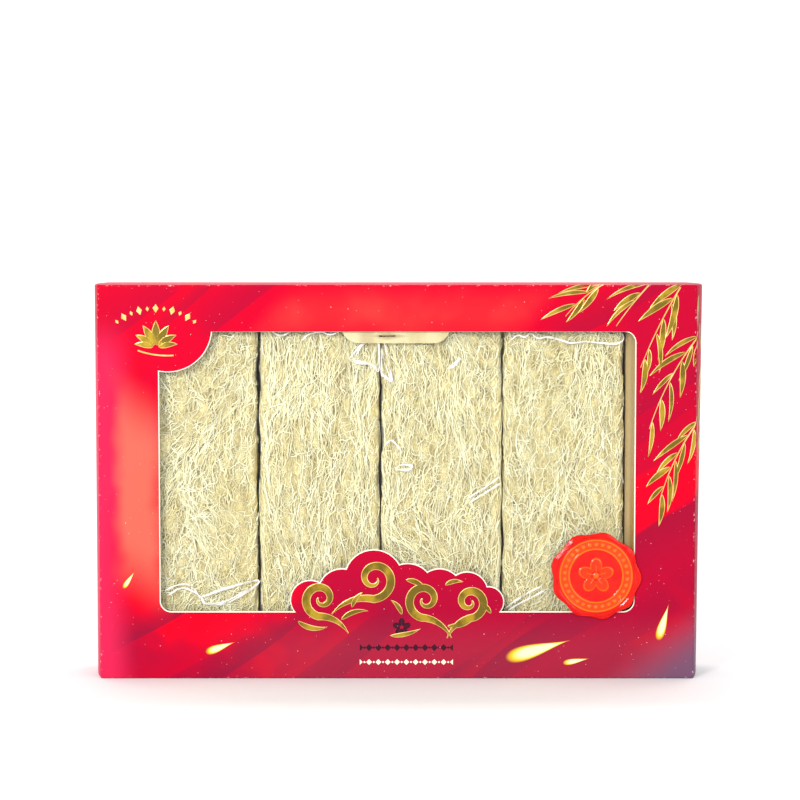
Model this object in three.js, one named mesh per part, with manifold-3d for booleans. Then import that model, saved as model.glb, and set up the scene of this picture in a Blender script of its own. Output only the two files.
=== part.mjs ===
// A boxed set of edible bird's nest: four pressed bricks of dried nest strands, each in a clear
// bag, standing side by side in a tan card tray under a red card lid with a die-cut window.
// Millimetres, +Z up. The window faces -Y, and the origin is under the middle of the whole set.

import * as THREE from 'three';
import { mergeVertices } from 'three/addons/utils/BufferGeometryUtils.js';
import Module from 'manifold-3d';

const wasm = await Module();
wasm.setup();

// The lid: its front panel, its depth and its card
const WIDTH = 280;
const HEIGHT = 186;
const DEPTH = 38;
const CARD = 1;
const FIT = 0.3;

// How far the side walls of the lid bow outwards, half way back
const BOW_LEFT = 3.2;
const BOW_RIGHT_BOTTOM = 2.9;
const BOW_RIGHT_TOP = 4.5;

// The window in the front panel
const WINDOW_HALF = 111.5;
const WINDOW_LOW = 32;
const WINDOW_HIGH = 164;
const WINDOW_CORNER = 5;
const LOBE_RADIUS = 21;

// Puffs of the cloud tongue that stands in the window: [x, height above the panel's foot, radius]
const CLOUD_PUFFS = [
  [-41, 37.5, 9.5],
  [-26, 41, 11.5],
  [-11, 47.5, 14],
  [5, 42.5, 12.5],
  [20, 41.5, 11],
  [33, 41, 10],
  [43, 36.5, 7.5],
];
const CLOUD_BED = 42;
const CLOUD_BED_TOP = 39;

// The clear film glued behind the window
const FILM = 0.3;
const FILM_MARGIN = 8;

// The tab of cream card at the top of the tray
const TAB_WIDTH = 51;
const TAB_LOW = 158.6;
const TAB_HIGH = 175;
const TAB_CARD = 0.6;
const TAB_ROUND = 8;
const TAB_SLIT_X = -4.2;
const TAB_SLIT_WIDTH = 8;
const TAB_SLIT_HEIGHT = 0.8;
const TAB_SLIT_UP = 2.9;

// The recess of the tray: its right wall slopes, more steeply by the front edge
const TRAY_FRONT = 2.9;
const RECESS_LEFT = -124.5;
const RECESS_RIGHT_FRONT = 111.8;
const RECESS_RIGHT_BEND = 107.9;
const RECESS_BEND_DEPTH = 7.5;
const RECESS_RIGHT_BACK = 107.6;
const RECESS_LOW = 16;
const RECESS_HIGH = 172;

// The nest bricks and their bags
const BRICKS = 4;
const BRICK_PITCH = 57.7;
const FIRST_BRICK = -94.5;
const BRICK_HALF_WIDTH = 27.9;
const BRICK_HALF_DEPTH = 14.3;
const BRICK_LOW = 20;
const BRICK_HIGH = 167.5;
const BRICK_ROUND = 8.5;
const RIDGE_DEPTH = 2.4;
const BAG_WALL = 0.4;
const BAG_HALF_WIDTH = 28.6;
const BAG_HALF_DEPTH = 15.5;
const BAG_SQUARENESS = 5;
const BAG_LOW = 17;
const BAG_SHOULDER = 168.4;
const BAG_HIGH = 171.4;
const BAG_FIN_HALF_DEPTH = 1.2;
const BAG_FRONT = 4.5;

// The wax-like seal on the lower right corner of the window
const SEAL_X = 93.3;
const SEAL_UP = 49.2;
const SEAL_RADIUS = 21.2;
const SEAL_LOBES = 9;
const SEAL_SCALLOP = 0.03;
const SEAL_RING_OUTER = 16.9;
const SEAL_RING_INNER = 12.7;
const SEAL_THICK = 1.8;

const FRONT = -DEPTH / 2;
const BACK = DEPTH / 2;

function material(color, roughness, metalness = 0, opacity = 1) {
  return new THREE.MeshStandardMaterial({ color, roughness, metalness, opacity, transparent: opacity < 1 });
}

function closed(geometry) {
  geometry.deleteAttribute('normal');
  geometry.deleteAttribute('uv');
  return mergeVertices(geometry, 1e-4);
}

function solidOf(geometry) {
  const merged = closed(geometry);
  return new wasm.Manifold(new wasm.Mesh({
    numProp: 3,
    vertProperties: new Float32Array(merged.attributes.position.array),
    triVerts: new Uint32Array(merged.index.array),
  }));
}

function geometryOf(solid) {
  const mesh = solid.getMesh();
  const geometry = new THREE.BufferGeometry();
  geometry.setAttribute('position', new THREE.BufferAttribute(new Float32Array(mesh.vertProperties), 3));
  geometry.setIndex(new THREE.BufferAttribute(new Uint32Array(mesh.triVerts), 1));
  return geometry;
}

// Moves every vertex of a geometry to where place(vertex) puts it
function shaped(geometry, place) {
  const positions = geometry.attributes.position;
  const vertex = new THREE.Vector3();
  for (let i = 0; i < positions.count; i += 1) {
    vertex.fromBufferAttribute(positions, i);
    place(vertex);
    positions.setXYZ(i, vertex.x, vertex.y, vertex.z);
  }
  return geometry;
}

// A shape drawn in X and height, pushed through from one Y to another
function prism(shape, from, to, curveSegments = 12) {
  const geometry = new THREE.ExtrudeGeometry(shape, { depth: to - from, bevelEnabled: false, curveSegments });
  geometry.rotateX(Math.PI / 2);
  geometry.translate(0, to, 0);
  return geometry;
}

function roundedRectangle(left, right, low, high, radius) {
  const shape = new THREE.Shape();
  shape.moveTo(left + radius, low);
  shape.lineTo(right - radius, low);
  shape.absarc(right - radius, low + radius, radius, -Math.PI / 2, 0);
  shape.lineTo(right, high - radius);
  shape.absarc(right - radius, high - radius, radius, 0, Math.PI / 2);
  shape.lineTo(left + radius, high);
  shape.absarc(left + radius, high - radius, radius, Math.PI / 2, Math.PI);
  shape.lineTo(left, low + radius);
  shape.absarc(left + radius, low + radius, radius, Math.PI, 1.5 * Math.PI);
  return shape;
}

function disc(x, up, radius) {
  const shape = new THREE.Shape();
  shape.absarc(x, up, radius, 0, 2 * Math.PI);
  return shape;
}

// How far a side wall stands out at a place: none at the front fold and the back edge
function bow(x, y, z) {
  const across = Math.sin(Math.PI * THREE.MathUtils.clamp((y - FRONT) / DEPTH, 0, 1));
  const up = THREE.MathUtils.clamp(z / HEIGHT, 0, 1);
  const most = x < 0 ? -BOW_LEFT : THREE.MathUtils.lerp(BOW_RIGHT_BOTTOM, BOW_RIGHT_TOP, up);
  return most * across;
}

function bowedBox(inset, shift) {
  const geometry = new THREE.BoxGeometry(WIDTH - 2 * inset, DEPTH, HEIGHT - 2 * inset, 1, 6, 6);
  geometry.translate(0, shift, HEIGHT / 2);
  return shaped(geometry, (vertex) => {
    vertex.x += bow(vertex.x, vertex.y, vertex.z);
  });
}

// The window, less the corner lobe and the cloud tongue that stay on the panel
function windowCut() {
  const from = FRONT - 2;
  const to = FRONT + CARD + 2;
  const opening = roundedRectangle(-WINDOW_HALF, WINDOW_HALF, WINDOW_LOW, WINDOW_HIGH, WINDOW_CORNER);
  let cut = solidOf(prism(opening, from, to, 5));
  cut = cut.subtract(solidOf(prism(disc(-WINDOW_HALF + 4, WINDOW_HIGH + 2, LOBE_RADIUS), from - 1, to + 1, 18)));
  for (const [x, up, radius] of CLOUD_PUFFS) {
    cut = cut.subtract(solidOf(prism(disc(x, up, radius), from - 1, to + 1, 14)));
  }
  const bed = roundedRectangle(-CLOUD_BED, CLOUD_BED, WINDOW_LOW - 2, CLOUD_BED_TOP, 1);
  return cut.subtract(solidOf(prism(bed, from - 1, to + 1, 1)));
}

function lidGeometry() {
  const shell = solidOf(bowedBox(0, 0)).subtract(solidOf(bowedBox(CARD, CARD)));
  return geometryOf(shell.subtract(windowCut()));
}

function filmGeometry() {
  const geometry = new THREE.BoxGeometry(
    2 * (WINDOW_HALF + FILM_MARGIN),
    FILM,
    WINDOW_HIGH - WINDOW_LOW + 2 * FILM_MARGIN,
  );
  geometry.translate(0, FRONT + CARD + FIT + FILM / 2, (WINDOW_HIGH + WINDOW_LOW) / 2);
  return closed(geometry);
}

function tabGeometry() {
  const shape = roundedRectangle(-TAB_WIDTH / 2, TAB_WIDTH / 2, TAB_LOW, TAB_HIGH, TAB_ROUND);
  const slitLeft = TAB_SLIT_X - TAB_SLIT_WIDTH / 2;
  const slitLow = TAB_LOW + TAB_SLIT_UP;
  const slit = roundedRectangle(slitLeft, slitLeft + TAB_SLIT_WIDTH, slitLow, slitLow + TAB_SLIT_HEIGHT, 0.35);
  shape.holes.push(slit);
  const from = FRONT + TRAY_FRONT - FIT - TAB_CARD;
  return closed(prism(shape, from, from + TAB_CARD, 6));
}

// A block that fills the lid, with a recess open to the front
function trayGeometry() {
  const half = WIDTH / 2 - CARD - FIT;
  const low = CARD + FIT;
  const high = HEIGHT - CARD - FIT;
  const front = FRONT + TRAY_FRONT;
  const block = new THREE.BoxGeometry(2 * half, BACK - front, high - low);
  block.translate(0, (BACK + front) / 2, (high + low) / 2);
  const plan = new THREE.Shape();
  plan.moveTo(RECESS_LEFT, front - 5);
  plan.lineTo(RECESS_RIGHT_FRONT, front - 5);
  plan.lineTo(RECESS_RIGHT_FRONT, front);
  plan.lineTo(RECESS_RIGHT_BEND, front + RECESS_BEND_DEPTH);
  plan.lineTo(RECESS_RIGHT_BACK, BACK - CARD);
  plan.lineTo(RECESS_LEFT, BACK - CARD);
  const recess = new THREE.ExtrudeGeometry(plan, { depth: RECESS_HIGH - RECESS_LOW, bevelEnabled: false });
  recess.translate(0, 0, RECESS_LOW);
  return geometryOf(solidOf(block).subtract(solidOf(recess)));
}

// How full the strands stand at a place on the face of a brick, from 0 to 1
function fullness(x, z, turn) {
  const lock = Math.sin(0.55 * x + 0.9 * Math.sin(0.06 * z + turn));
  const strand = Math.sin(0.93 * x + 0.05 * z + 2 * turn);
  const lump = Math.sin(0.17 * z + 0.13 * x + 3 * turn);
  return 0.5 + 0.24 * lock + 0.14 * strand + 0.12 * lump;
}

function brickGeometry(index) {
  const half = new THREE.Vector3(BRICK_HALF_WIDTH, BRICK_HALF_DEPTH, (BRICK_HIGH - BRICK_LOW) / 2);
  const reach = half.clone().subScalar(BRICK_ROUND);
  const turn = 1.9 * index;
  const core = new THREE.Vector3();
  const outward = new THREE.Vector3();
  const geometry = new THREE.BoxGeometry(2 * half.x, 2 * half.y, 2 * half.z, 12, 4, 20);
  return closed(shaped(geometry, (vertex) => {
    core.copy(vertex).clamp(reach.clone().negate(), reach);
    outward.copy(vertex).sub(core).normalize();
    const hollow = RIDGE_DEPTH * (1 - fullness(vertex.x + 3 * vertex.y / half.y, vertex.z, turn));
    vertex.copy(core).addScaledVector(outward, BRICK_ROUND - hollow);
  }));
}

// A pouch with a flat oblong section: closed at the foot, drawn in to an open mouth at the top
function bagGeometry() {
  const profile = [
    new THREE.Vector2(0, BAG_LOW),
    new THREE.Vector2(1, BAG_LOW),
    new THREE.Vector2(1, BAG_SHOULDER),
    new THREE.Vector2(1, BAG_HIGH),
    new THREE.Vector2(0.9, BAG_HIGH),
    new THREE.Vector2(0.9, BAG_SHOULDER),
    new THREE.Vector2(0.9, BAG_LOW + BAG_WALL),
    new THREE.Vector2(0, BAG_LOW + BAG_WALL),
  ];
  const geometry = new THREE.LatheGeometry(profile, 24);
  geometry.rotateX(Math.PI / 2);
  return closed(shaped(geometry, (vertex) => {
    const reach = Math.hypot(vertex.x, vertex.y);
    if (reach < 0.5) {
      vertex.x = 0;
      vertex.y = 0;
      return;
    }
    const wall = reach < 0.95 ? BAG_WALL : 0;
    const drawn = THREE.MathUtils.smoothstep(vertex.z, BAG_SHOULDER, BAG_HIGH);
    const depth = THREE.MathUtils.lerp(BAG_HALF_DEPTH, BAG_FIN_HALF_DEPTH, drawn);
    const along = vertex.x / reach;
    const across = vertex.y / reach;
    const power = 2 / BAG_SQUARENESS;
    vertex.x = (BAG_HALF_WIDTH - wall) * Math.sign(along) * Math.abs(along) ** power;
    vertex.y = (depth - wall) * Math.sign(across) * Math.abs(across) ** power;
  }));
}

// A poured disc: flat back, rounded rim, a sunk band between two raised rings
function sealGeometry() {
  const rim = SEAL_RADIUS;
  const profile = [
    [0, 0],
    [rim - 0.5, 0],
    [rim, 0.6],
    [rim - 0.7, 1.5],
    [rim - 1.9, SEAL_THICK],
    [SEAL_RING_OUTER + 0.7, 1.1],
    [SEAL_RING_OUTER, 1.5],
    [SEAL_RING_OUTER - 0.7, 1.1],
    [SEAL_RING_INNER + 0.6, 1.1],
    [SEAL_RING_INNER, 1.45],
    [SEAL_RING_INNER - 0.7, 1.1],
    [0, 1.1],
  ];
  const points = profile.map(([radius, height]) => new THREE.Vector2(radius, height));
  const geometry = new THREE.LatheGeometry(points, 6 * SEAL_LOBES);
  geometry.rotateX(Math.PI / 2);
  shaped(geometry, (vertex) => {
    const radius = Math.hypot(vertex.x, vertex.y);
    const angle = Math.atan2(vertex.y, vertex.x);
    const share = THREE.MathUtils.smoothstep(radius, SEAL_RING_OUTER + 0.8, rim - 1.9);
    const lobe = SEAL_SCALLOP * Math.cos(SEAL_LOBES * angle + 0.6 * Math.sin(angle + 1));
    const factor = 1 + share * (lobe - SEAL_SCALLOP + 0.02 * Math.cos(2 * angle + 0.8));
    vertex.x *= factor;
    vertex.y *= factor;
  });
  geometry.rotateX(Math.PI / 2);
  return closed(geometry);
}

const set = new THREE.Group();

function add(name, geometry, look, x = 0, y = 0, z = 0) {
  const mesh = new THREE.Mesh(geometry, look);
  mesh.name = name;
  mesh.position.set(x, y, z);
  set.add(mesh);
}

add('lid', lidGeometry(), material(0xe3122a, 0.35));
add('window_film', filmGeometry(), material(0xf4f6f4, 0.08, 0, 0.25));
add('tray', trayGeometry(), material(0xb08c46, 0.6));
add('thumb_tab', tabGeometry(), material(0xe9ddb5, 0.6), -0.5);

const bagMiddle = FRONT + BAG_FRONT + BAG_HALF_DEPTH;
for (let i = 0; i < BRICKS; i += 1) {
  const x = FIRST_BRICK + i * BRICK_PITCH;
  add(`nest_brick_${i + 1}`, brickGeometry(i), material(0xe9e0b4, 0.7), x, bagMiddle, (BRICK_LOW + BRICK_HIGH) / 2);
  add(`bag_${i + 1}`, bagGeometry(), material(0xf6f6f2, 0.1, 0, 0.25), x, bagMiddle);
}

add('seal', sealGeometry(), material(0xff3a2a, 0.4), SEAL_X, FRONT - FIT, SEAL_UP);

// The bowed right wall and the seal stand further out than what is opposite them
set.position.x = (BOW_LEFT - BOW_RIGHT_TOP) / 2;
set.position.y = (FIT + SEAL_THICK) / 2;

export default set;
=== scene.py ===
# A boxed set of edible bird's nest: four pressed bricks of dried nest strands, each in a clear bag,
# in a tan card tray under a red printed card lid with a die-cut window and a wax-like seal.

import math

import bpy
import numpy as np
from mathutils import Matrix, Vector
from mathutils.geometry import tessellate_polygon


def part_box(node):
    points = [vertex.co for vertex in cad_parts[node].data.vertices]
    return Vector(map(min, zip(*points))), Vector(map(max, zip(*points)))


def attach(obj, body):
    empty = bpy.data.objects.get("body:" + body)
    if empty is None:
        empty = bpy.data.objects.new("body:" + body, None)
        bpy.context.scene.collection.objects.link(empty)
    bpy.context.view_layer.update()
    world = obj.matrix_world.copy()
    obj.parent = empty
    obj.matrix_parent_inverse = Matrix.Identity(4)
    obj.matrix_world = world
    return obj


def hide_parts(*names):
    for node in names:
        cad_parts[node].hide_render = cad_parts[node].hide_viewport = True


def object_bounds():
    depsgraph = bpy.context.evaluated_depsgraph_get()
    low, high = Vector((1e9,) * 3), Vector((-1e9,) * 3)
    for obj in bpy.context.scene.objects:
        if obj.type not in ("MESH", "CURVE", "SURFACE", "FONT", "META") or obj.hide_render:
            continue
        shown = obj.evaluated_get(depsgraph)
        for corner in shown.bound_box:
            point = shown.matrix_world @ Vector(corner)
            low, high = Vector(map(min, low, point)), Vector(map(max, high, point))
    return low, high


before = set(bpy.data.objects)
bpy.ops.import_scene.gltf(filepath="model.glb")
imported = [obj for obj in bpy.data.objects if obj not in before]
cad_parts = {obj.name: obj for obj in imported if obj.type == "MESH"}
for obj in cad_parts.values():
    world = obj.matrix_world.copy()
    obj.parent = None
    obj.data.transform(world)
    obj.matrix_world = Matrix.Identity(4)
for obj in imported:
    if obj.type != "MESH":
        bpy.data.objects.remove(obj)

MM = 0.001
cad_low, cad_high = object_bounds()


# The camera stands level with the upper half of the box and looks slightly down on its front,
# through a long lens, so that the box shows almost square on with a thin strip of its top.
CAMERA_BACK = 1.2
CAMERA_UP = 0.2265
CAMERA_SIDE = 0.0007
CAMERA_DOWN = math.radians(4.5)
CAMERA_LENS = 115.6

front_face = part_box("lid")[0].y
camera_data = bpy.data.cameras.new("camera")
camera_data.lens = CAMERA_LENS
camera_data.sensor_width = 36
camera_data.clip_start = 0.01
camera_data.clip_end = 50
camera = bpy.data.objects.new("camera", camera_data)
camera.location = (CAMERA_SIDE, front_face - CAMERA_BACK, CAMERA_UP)
camera.rotation_euler = (math.pi / 2 - CAMERA_DOWN, 0, 0)
bpy.context.scene.collection.objects.link(camera)
bpy.context.scene.camera = camera


# The tray: a base of tan-gold card that the lid slides over. Its recess holds the bagged bricks,
# and its right wall slopes, so that it shows beside the last brick. Its back is papered red.
TAN = (0.35, 0.19, 0.036, 1)
# The tray colours after TAN carry painted light: a paler reflection high up, and lighter tones where little
# light reaches
TAN_DULL_REFLECTION = (0.37, 0.27, 0.13, 1)
TAN_PAINTED_LIGHT = (0.50, 0.375, 0.18, 1)
TRAY_BED_PAINTED_LIGHT = (0.92, 0.86, 0.72, 1)
BACK_RED = (0.40, 0.006, 0.028, 1)
BACK_RED_DARK = (0.36, 0.005, 0.028, 1)


def start_finish(name, roughness):
    finish = bpy.data.materials.new(name)
    finish.use_nodes = True
    surface = finish.node_tree.nodes["Principled BSDF"]
    surface.inputs["Roughness"].default_value = roughness
    return finish, finish.node_tree, surface


class Shade:
    """A number or colour that a shader works out at each place; sums and products of it are new ones."""

    def __init__(self, socket):
        self.socket = socket
        self.tree = socket.id_data

    def __add__(self, other):
        return reckon("ADD", self, other)

    def __sub__(self, other):
        return reckon("SUBTRACT", self, other)

    def __rsub__(self, other):
        return reckon("SUBTRACT", other, self)

    def __mul__(self, other):
        return reckon("MULTIPLY", self, other)

    def __truediv__(self, other):
        return reckon("DIVIDE", self, other)

    def __abs__(self):
        return reckon("ABSOLUTE", self)


def feed(socket, value):
    if isinstance(value, Shade):
        value.tree.links.new(value.socket, socket)
    else:
        socket.default_value = value


def reckon(operation, *values):
    tree = next(value.tree for value in values if isinstance(value, Shade))
    made = tree.nodes.new("ShaderNodeMath")
    made.operation = operation
    for socket, value in zip(made.inputs, values):
        feed(socket, value)
    return Shade(made.outputs[0])


# From 0 at the first limit to 1 at the second, smoothly, and level outside them
def rise(value, first, second):
    made = value.tree.nodes.new("ShaderNodeMapRange")
    made.interpolation_type = "SMOOTHSTEP"
    feed(made.inputs["Value"], value)
    made.inputs["From Min"].default_value = first
    made.inputs["From Max"].default_value = second
    return Shade(made.outputs["Result"])


def blend(share, first, second):
    made = share.tree.nodes.new("ShaderNodeMix")
    made.data_type = "RGBA"
    for number, value in ((0, share), (6, first), (7, second)):
        feed(made.inputs[number], value)
    return Shade(made.outputs[2])


def place_in_mm(tree):
    source = tree.nodes.new("ShaderNodeTexCoord")
    scaled = tree.nodes.new("ShaderNodeVectorMath")
    scaled.operation = "SCALE"
    scaled.inputs["Scale"].default_value = 1 / MM
    tree.links.new(source.outputs["Object"], scaled.inputs[0])
    return Shade(scaled.outputs[0])


def split(place):
    parts = place.tree.nodes.new("ShaderNodeSeparateXYZ")
    feed(parts.inputs[0], place)
    return [Shade(output) for output in parts.outputs]


# Cloudy noise whose cells measure the given lengths in millimetres along X, Y and Z
def mottle(place, cell, detail=3.0, roughness=0.55):
    stretched = place.tree.nodes.new("ShaderNodeMapping")
    stretched.vector_type = "POINT"
    stretched.inputs["Scale"].default_value = [1 / length for length in cell]
    feed(stretched.inputs["Vector"], place)
    made = place.tree.nodes.new("ShaderNodeTexNoise")
    made.inputs["Scale"].default_value = 1
    made.inputs["Detail"].default_value = detail
    made.inputs["Roughness"].default_value = roughness
    feed(made.inputs["Vector"], Shade(stretched.outputs[0]))
    return Shade(made.outputs["Fac"])


def emboss(surface, height, depth_mm, strength):
    made = height.tree.nodes.new("ShaderNodeBump")
    made.inputs["Strength"].default_value = strength
    made.inputs["Distance"].default_value = depth_mm * MM
    feed(made.inputs["Height"], height)
    feed(surface.inputs["Normal"], Shade(made.outputs[0]))


def dress(piece, *finishes):
    slots = piece.data.materials
    for number, finish in enumerate(finishes):
        if number < len(slots):
            slots[number] = finish
        else:
            slots.append(finish)


def tray_finish():
    finish, tree, surface = start_finish("tan_card", 0.5)
    place = place_in_mm(tree)
    _, y, z = split(place)
    cloud = mottle(place, (22, 22, 34))
    fibre = mottle(place, (0.9, 0.9, 5), 2.0)
    # Painted reflection: the gold card is paler and duller high up and deeper gold low down, as its foil
    # reflects the studio
    inside = blend(rise(z + (cloud * 28 + fibre * 14), 128, 88), TAN_DULL_REFLECTION, TAN)
    front, back = cad_low.y / MM, cad_high.y / MM
    # Painted light: further in, the walls are painted lighter where little lamp light reaches
    inside = blend(rise(y, front + 7, front + 10), inside, TAN_PAINTED_LIGHT)
    # Painted light: the bed at the back, seen in the gaps between the bricks, is painted pale
    inside = blend(rise(y, back - 6, back - 3), inside, TRAY_BED_PAINTED_LIGHT)
    papered = blend(rise(cloud, 0.3, 0.7), BACK_RED_DARK, BACK_RED)
    feed(surface.inputs["Base Color"], blend(rise(y, back - 0.6, back - 0.4), inside, papered))
    emboss(surface, fibre, 0.05, 0.5)
    return finish


dress(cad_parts["tray"], tray_finish())


# The nest bricks: the dried spit strands of swiftlets, cleaned and pressed into loaf-shaped bricks.
# Each is one matted mass: combed strands run up it, stray ones cross them, and short curls stand
# on top, with hollows between in painted olive shade. The mat lies in the form of the brick's solid.
BRICK_COUNT = 4
BRICK_ROUND = 5.5 * MM
BEND = BRICK_ROUND * math.pi / 2
MAT_SPREAD = np.array([1.2, 0.4, 0.6]) * MM
MAT_STEP = 1.5 * MM
RIDGE_DEPTH = 2.4 * MM
SUNK_DEPTH = 2.6 * MM
FRONT_SHARE = 0.82
# Nest colours from the top strands down: deeper places are painted darker, as painted shade in the mat's
# hollows
NEST_PALE = (0.88, 0.87, 0.61, 1)
NEST_CREAM = (0.82, 0.76, 0.42, 1)
NEST_HALF_SHADE_STRAW = (0.70, 0.61, 0.27, 1)
NEST_SHADE_OLIVE = (0.45, 0.37, 0.12, 1)


def new_piece(name, points, faces):
    data = bpy.data.meshes.new(name)
    data.vertices.add(len(points))
    data.vertices.foreach_set("co", np.asarray(points, np.float32).ravel())
    sizes = np.concatenate([np.full(len(group), group.shape[1]) for group in faces])
    corners = np.concatenate([group.ravel() for group in faces])
    data.loops.add(len(corners))
    data.loops.foreach_set("vertex_index", corners.astype(np.int32))
    data.polygons.add(len(sizes))
    starts = np.concatenate([[0], np.cumsum(sizes)[:-1]])
    data.polygons.foreach_set("loop_start", starts.astype(np.int32))
    data.polygons.foreach_set("use_smooth", np.full(len(sizes), True))
    data.update(calc_edges=True)
    piece = bpy.data.objects.new(name, data)
    bpy.context.scene.collection.objects.link(piece)
    return piece


def note_on(piece, name, values):
    made = piece.data.attributes.new(name, "FLOAT", "POINT")
    made.data.foreach_set("value", np.asarray(values, np.float32).ravel())


def noted(tree, name, output="Fac"):
    made = tree.nodes.new("ShaderNodeAttribute")
    made.attribute_name = name
    return Shade(made.outputs[output])


def faces_round(index):
    """Four-sided faces of a grid of points that closes on itself along its first axis."""
    after = np.roll(index, -1, axis=0)
    return np.stack([index[:, :-1], after[:, :-1], after[:, 1:], index[:, 1:]], axis=-1)


class Loaf:
    """The rounded form of one brick: places on it are a way round its girth and a height up it."""

    def __init__(self, node, turn):
        low, high = (np.array(corner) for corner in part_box(node))
        self.middle = (low + high) / 2
        self.half = (high - low) / 2 + MAT_SPREAD
        self.core = self.half - BRICK_ROUND
        self.turn = turn
        self.sides = [2 * self.core[0], BEND, 2 * self.core[1], BEND] * 2
        self.girth = sum(self.sides)
        self.top = self.core[2]

    def waist(self, side, z):
        """How far a side wall is drawn in at a height: side is -1 on the left and 1 on the right."""
        slow = np.sin(z / (13 * MM) + 4.5 * side + 2 * self.turn) * np.sin(z / (37 * MM) + self.turn)
        quick = np.sin(z / (4.1 * MM) + 2 * side + 3 * self.turn)
        return np.clip(0.05 + 0.5 * slow + 0.35 * quick, 0, 2) * MM

    def around(self, way):
        """The point of the girth's inner core and the outward direction there."""
        way = np.mod(way, self.girth)
        corners = np.repeat([(-1, -1), (1, -1), (1, 1), (-1, 1)], 2, axis=0) * self.core[:2]
        inner = np.zeros(way.shape + (2,))
        outward = np.zeros(way.shape + (2,))
        start = 0.0
        for index, length in enumerate(self.sides):
            here = (way >= start) & (way <= start + length)
            share = ((way - start) / length)[here]
            first, last = corners[(index + 1) % 8], corners[(index + 2) % 8]
            inner[here] = first + share[:, None] * (last - first)
            angle = (index // 2 - 1 + (index % 2) * share) * math.pi / 2
            outward[here] = np.stack([np.cos(angle), np.sin(angle)], axis=-1)
            start += length
        return inner, outward

    def fullness(self, x, y, z):
        x = (x + 3 * MM * y / self.half[1]) / MM
        z = z / MM
        lock = np.sin(0.55 * x + 0.9 * np.sin(0.06 * z + self.turn))
        strand = np.sin(0.93 * x + 0.05 * z + 2 * self.turn)
        lump = np.sin(0.17 * z + 0.13 * x + 3 * self.turn)
        return 0.5 + 0.24 * lock + 0.14 * strand + 0.12 * lump

    def place(self, way, height, dip):
        """Points of the mat: height runs from below the foot, over the side, to the crown."""
        inner, outward = self.around(way)
        over = np.abs(height) - self.top
        tilt = np.clip(over / BRICK_ROUND, 0, math.pi / 2) * np.sign(height)
        drawn = np.clip((over - BEND) / self.core[1], 0, 1)
        inner = inner * np.stack([1 - 0.35 * drawn, 1 - drawn], axis=-1)
        normal = np.concatenate([outward * np.cos(tilt)[..., None], np.sin(tilt)[..., None]], axis=-1)
        base = np.concatenate([inner, np.clip(height, -self.top, self.top)[..., None]], axis=-1)
        full = self.fullness(base[..., 0] + BRICK_ROUND * normal[..., 0], base[..., 1], base[..., 2])
        side = np.abs(normal[..., 0])
        hollow = RIDGE_DEPTH * 0.7 * (1 - full) * (1 - 0.85 * side)
        waist = side * self.waist(np.sign(normal[..., 0]), base[..., 2])
        reach = BRICK_ROUND - hollow - dip * (1 - 0.7 * side) - waist
        return self.middle + base + normal * reach[..., None], normal


# Slow waves over a face, one sum of sines for each draw of the generator, from about -1 to 1
def waves(rng, across, along, count=6):
    angles = rng.uniform(0, 2 * math.pi, (count, 3))
    pulls = rng.uniform(0.6, 1.5, (count, 2))

    def height(way, up):
        total = 0
        for (a, b, c), (p, q) in zip(angles, pulls):
            total = total + np.sin(way / across * p * math.cos(a) + up / along * q * math.sin(b) * 2 + c)
        return total / math.sqrt(count)

    return height


def strand_tubes(paths, normals, radii):
    """Three-sided tubes along many paths: points, side faces and end faces."""
    count, length = paths.shape[:2]
    along = np.gradient(paths, axis=1)
    along /= np.linalg.norm(along, axis=-1, keepdims=True) + 1e-12
    aside = np.cross(along, normals)
    aside /= np.linalg.norm(aside, axis=-1, keepdims=True) + 1e-12
    up = np.cross(aside, along)
    corners = []
    for angle in (math.pi / 2, math.pi / 2 + 2 * math.pi / 3, math.pi / 2 + 4 * math.pi / 3):
        corners.append(paths + radii[..., None] * (math.cos(angle) * aside + math.sin(angle) * up))
    ring = np.arange(count * length * 3).reshape(count, length, 3)
    sides = faces_round(ring.transpose(2, 1, 0))
    # Each face's corners are taken the other way round, so that the tubes' sides look out
    sides = np.moveaxis(sides, -1, 0)[[0, 3, 2, 1]]
    ends = np.concatenate([ring[:, 0, :], ring[:, -1, ::-1]])
    return np.stack(corners, axis=2).reshape(-1, 3), sides.reshape(4, -1).T, ends


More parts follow.
